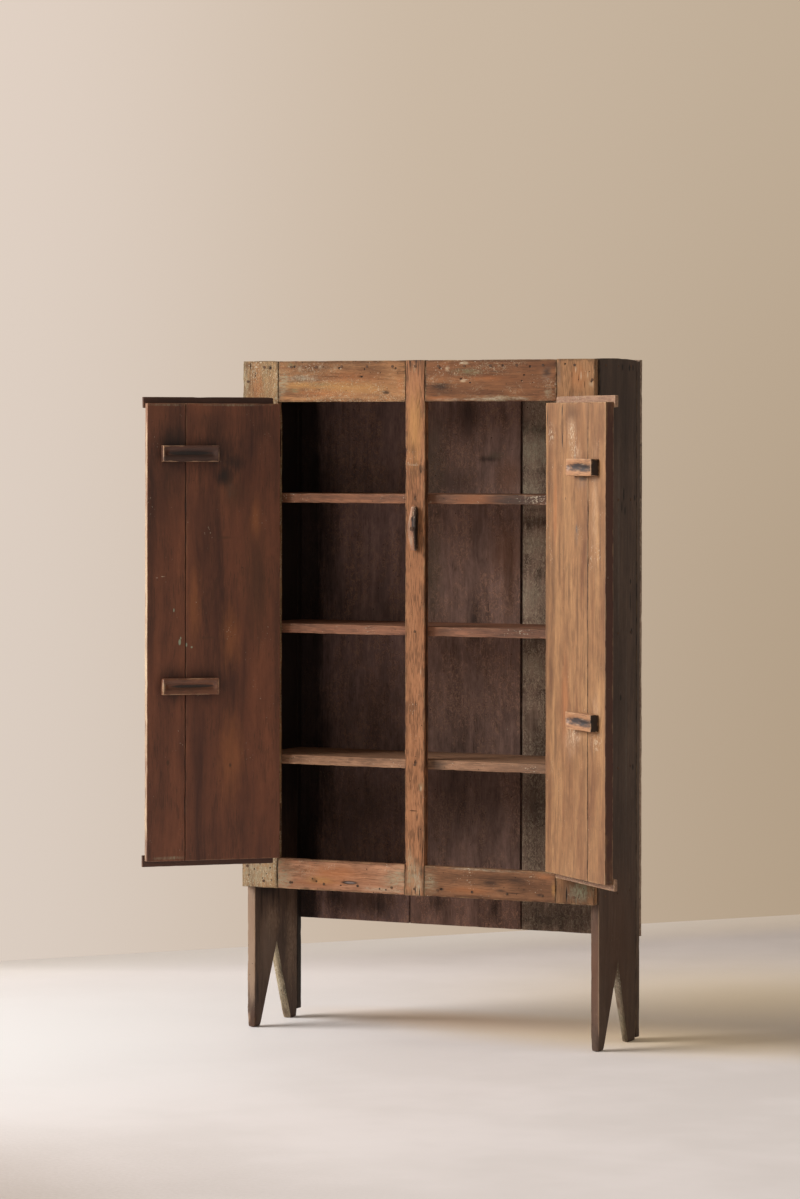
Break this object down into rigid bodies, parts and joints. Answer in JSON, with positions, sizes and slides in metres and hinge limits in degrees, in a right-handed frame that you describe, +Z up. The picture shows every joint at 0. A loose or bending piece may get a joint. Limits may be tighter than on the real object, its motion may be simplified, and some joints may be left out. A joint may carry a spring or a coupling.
{
  "type": "storage cupboard",
  "caption": "Tall plank cupboard on notched plank feet, with a face frame, fixed shelves, hinged ledged doors and a wooden turn button.",
  "frame": {"origin": "On the floor, under the middle of the face frame, half way between the foremost and the rearmost point with the doors open as stored.", "axes": "+Z up; the front faces -Y; +X points right for someone who faces the front."},
  "size_m": [1.2947, 0.5597, 1.703],
  "materials": {
    "frame_wood": "weathered orange brown softwood, dry and matte, grey along edges",
    "door_wood": "waxed dark brown softwood, soft sheen",
    "side_wood": "dark brown aged softwood, matte",
    "back_wood": "dark brown aged softwood, matte, dusty",
    "shelf_wood": "reddish brown softwood, worn front edges",
    "cleat_wood": "dark hardwood, polished by handling",
    "button_wood": "dark whittled hardwood, worn smooth",
    "hinge_iron": "old iron, brown rust",
    "nail_iron": "old iron nails, brown rust"
  },
  "bodies": {
    "cupboard": {"back_board_left": "back_wood", "back_board_middle": "back_wood", "back_board_right": "back_wood", "back_nails": "nail_iron", "bottom_board": "shelf_wood", "centre_stile": "frame_wood", "frame_nails": "nail_iron", "left_bottom_rail": "frame_wood", "left_hinge_frame_leaves": "hinge_iron", "left_hinge_frame_screws": "nail_iron", "left_hinge_pins": "hinge_iron", "left_rear_strip": "side_wood", "left_side_board": "side_wood", "left_stile": "frame_wood", "left_top_rail": "frame_wood", "lower_shelf": "shelf_wood", "middle_shelf": "shelf_wood", "right_bottom_rail": "frame_wood", "right_hinge_frame_leaves": "hinge_iron", "right_hinge_frame_screws": "nail_iron", "right_hinge_pins": "hinge_iron", "right_rear_strip": "side_wood", "right_side_board": "side_wood", "right_stile": "frame_wood", "right_top_rail": "frame_wood", "side_nails": "nail_iron", "top_board": "shelf_wood", "turn_button_pin": "nail_iron", "upper_shelf": "shelf_wood"},
    "left_door": {"left_door_batten_nails": "nail_iron", "left_door_bottom_batten": "cleat_wood", "left_door_cleat_nails": "nail_iron", "left_door_lower_cleat": "cleat_wood", "left_door_narrow_board": "door_wood", "left_door_top_batten": "cleat_wood", "left_door_upper_cleat": "cleat_wood", "left_door_wide_board": "door_wood", "left_hinge_door_leaves": "hinge_iron", "left_hinge_door_screws": "nail_iron"},
    "right_door": {"right_door_batten_nails": "nail_iron", "right_door_bottom_batten": "cleat_wood", "right_door_cleat_nails": "nail_iron", "right_door_lower_cleat": "cleat_wood", "right_door_narrow_board": "door_wood", "right_door_top_batten": "cleat_wood", "right_door_upper_cleat": "cleat_wood", "right_door_wide_board": "door_wood", "right_hinge_door_leaves": "hinge_iron", "right_hinge_door_screws": "nail_iron"},
    "turn_button": {"turn_button": "button_wood"}
  },
  "joints": [
    {"name": "left_door_hinge", "type": "hinge", "parent": "cupboard", "child": "left_door", "pos_m": [-0.384, -0.01814, 0.85], "axis": [0, 0, 1], "range_deg": [-29, 136]},
    {"name": "right_door_hinge", "type": "hinge", "parent": "cupboard", "child": "right_door", "pos_m": [0.384, -0.01814, 0.85], "axis": [0, 0, -1], "range_deg": [-27, 138]},
    {"name": "turn_button_pivot", "type": "hinge", "parent": "cupboard", "child": "turn_button", "pos_m": [0, -0.01394, 1.2795], "axis": [0, -1, 0], "continuous": true}
  ]
}
